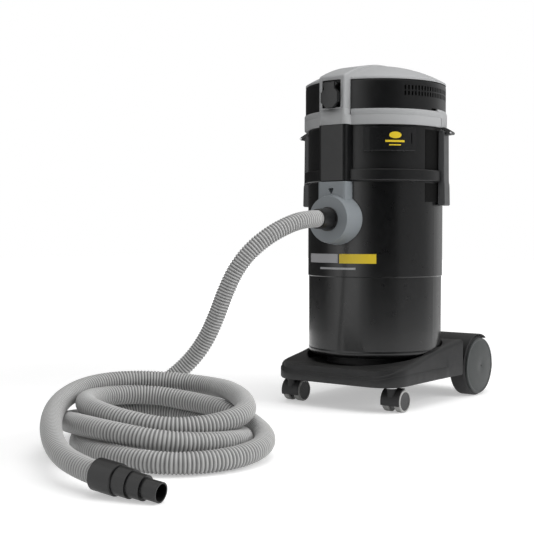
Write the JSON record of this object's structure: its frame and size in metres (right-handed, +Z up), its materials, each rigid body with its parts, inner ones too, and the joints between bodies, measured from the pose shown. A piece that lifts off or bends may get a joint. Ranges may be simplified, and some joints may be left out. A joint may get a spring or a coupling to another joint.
{
  "type": "shop vacuum",
  "caption": "Wet and dry shop vacuum: upright black tank on a four-wheel trolley, grey head with vents and socket flap, two side latches, and a long ribbed hose with a stepped adapter.",
  "frame": {"origin": "on the floor, under the middle of the machine measured without its hose", "axes": "+Z up, the front with the hose inlet faces -Y, +X is the right hand seen from the front"},
  "size_m": [0.6102, 1.4516, 0.851],
  "materials": {
    "black_satin": "satin moulded plastic",
    "black_gloss": "smooth moulded plastic",
    "black_inner": "matt moulded plastic",
    "light_grey": "satin moulded plastic",
    "mid_grey": "satin moulded plastic",
    "blue_grey": "satin moulded plastic",
    "dark_grey": "satin moulded plastic",
    "seal_rubber": "matt rubber",
    "white_plastic": "matt moulded plastic",
    "filter_paper": "pleated filter paper",
    "steel": "plain steel",
    "motor_steel": "pressed steel",
    "motor_iron": "laminated iron",
    "aluminium": "pressed aluminium",
    "black_rubber": "satin rubber",
    "hose_grey": "ribbed soft plastic",
    "wheel_rubber": "matt rubber",
    "tread_grey": "matt light rubber"
  },
  "bodies": {
    "machine": {"tank_shell": "black_satin", "chamber_seal": "seal_rubber", "inlet_gasket": "seal_rubber", "inlet_fitting": "blue_grey", "inlet_deflector": "black_inner", "filter_chamber": "black_satin", "label_plate": "black_gloss", "filter_plate": "black_inner", "filter_cage": "black_inner", "filter_cartridge": "filter_paper", "latch_pins": "steel", "head_ring": "mid_grey", "head_cover": "black_satin", "top_cap": "light_grey", "socket_body": "black_inner", "flap_pin": "steel", "flap_spring": "steel", "switch_bezel": "black_inner", "cable_gland": "black_inner", "motor_housing": "motor_steel", "motor_stator": "motor_iron", "trolley_chassis": "black_satin", "tank_screws": "steel", "rear_axle": "steel", "axle_clips": "steel", "hose_cuff": "black_rubber", "hose_tube": "hose_grey", "hose_tail": "hose_grey", "hose_coil": "hose_grey", "adapter_cuff": "black_rubber", "adapter_cone": "black_rubber"},
    "float": {"float_cup": "white_plastic"},
    "latch_right": {"latch_lever_right": "dark_grey"},
    "latch_left": {"latch_lever_left": "dark_grey"},
    "flap": {"socket_flap": "black_satin"},
    "rocker": {"switch_rocker": "black_gloss"},
    "rotor": {"motor_rotor": "motor_iron", "impeller": "aluminium", "cooling_fan": "white_plastic"},
    "wheel_left": {"rear_tyre_left": "wheel_rubber", "rear_hub_left": "black_inner", "hub_cap_left": "black_satin"},
    "caster_left": {"caster_hood_left": "black_satin", "caster_stem_left": "steel", "caster_axle_left": "steel"},
    "caster_wheel_left_outer": {"caster_tread_left_outer": "tread_grey", "caster_disc_left_outer": "black_inner"},
    "caster_wheel_left_inner": {"caster_tread_left_inner": "tread_grey", "caster_disc_left_inner": "black_inner"},
    "wheel_right": {"rear_tyre_right": "wheel_rubber", "rear_hub_right": "black_inner", "hub_cap_right": "black_satin"},
    "caster_right": {"caster_hood_right": "black_satin", "caster_stem_right": "steel", "caster_axle_right": "steel"},
    "caster_wheel_right_outer": {"caster_tread_right_outer": "tread_grey", "caster_disc_right_outer": "black_inner"},
    "caster_wheel_right_inner": {"caster_tread_right_inner": "tread_grey", "caster_disc_right_inner": "black_inner"}
  },
  "joints": [
    {"name": "float_rise", "type": "slide", "parent": "machine", "child": "float", "axis": [0, 0, 1], "range_m": [0, 0.0826]},
    {"name": "latch_right_pivot", "type": "hinge", "parent": "machine", "child": "latch_right", "pos_m": [0.19244, -0.00182, 0.671], "axis": [0.225, -0.9744, 0], "range_deg": [0, 95]},
    {"name": "latch_left_pivot", "type": "hinge", "parent": "machine", "child": "latch_left", "pos_m": [-0.19244, -0.09068, 0.671], "axis": [-0.225, 0.9744, 0], "range_deg": [0, 95]},
    {"name": "flap_pivot", "type": "hinge", "parent": "machine", "child": "flap", "pos_m": [0, -0.24975, 0.7795], "axis": [-1, 0, 0], "range_deg": [0, 100], "stiffness_Nm_per_rad": 0.02, "springref_deg": -20.05},
    {"name": "switch_pivot", "type": "hinge", "parent": "machine", "child": "rocker", "pos_m": [0, 0.04875, 0.84014], "axis": [1, 0, 0], "range_deg": [-8, 8]},
    {"name": "motor_spin", "type": "hinge", "parent": "machine", "child": "rotor", "pos_m": [0, -0.04625, 0.74], "axis": [0, 0, 1], "continuous": true},
    {"name": "wheel_left_spin", "type": "hinge", "parent": "machine", "child": "wheel_left", "pos_m": [-0.159, 0.17575, 0.0775], "axis": [1, 0, 0], "continuous": true},
    {"name": "caster_left_swivel", "type": "hinge", "parent": "machine", "child": "caster_left", "pos_m": [-0.146, -0.20425, 0.06], "axis": [0, 0, 1], "continuous": true},
    {"name": "caster_wheel_left_outer_spin", "type": "hinge", "parent": "caster_left", "child": "caster_wheel_left_outer", "pos_m": [-0.146, -0.18425, 0.0265], "axis": [1, 0, 0], "continuous": true},
    {"name": "caster_wheel_left_inner_spin", "type": "hinge", "parent": "caster_left", "child": "caster_wheel_left_inner", "pos_m": [-0.146, -0.18425, 0.0265], "axis": [1, 0, 0], "continuous": true},
    {"name": "wheel_right_spin", "type": "hinge", "parent": "machine", "child": "wheel_right", "pos_m": [0.159, 0.17575, 0.0775], "axis": [1, 0, 0], "continuous": true},
    {"name": "caster_right_swivel", "type": "hinge", "parent": "machine", "child": "caster_right", "pos_m": [0.146, -0.20425, 0.06], "axis": [0, 0, 1], "continuous": true},
    {"name": "caster_wheel_right_outer_spin", "type": "hinge", "parent": "caster_right", "child": "caster_wheel_right_outer", "pos_m": [0.146, -0.18425, 0.0265], "axis": [1, 0, 0], "continuous": true},
    {"name": "caster_wheel_right_inner_spin", "type": "hinge", "parent": "caster_right", "child": "caster_wheel_right_inner", "pos_m": [0.146, -0.18425, 0.0265], "axis": [1, 0, 0], "continuous": true}
  ]
}
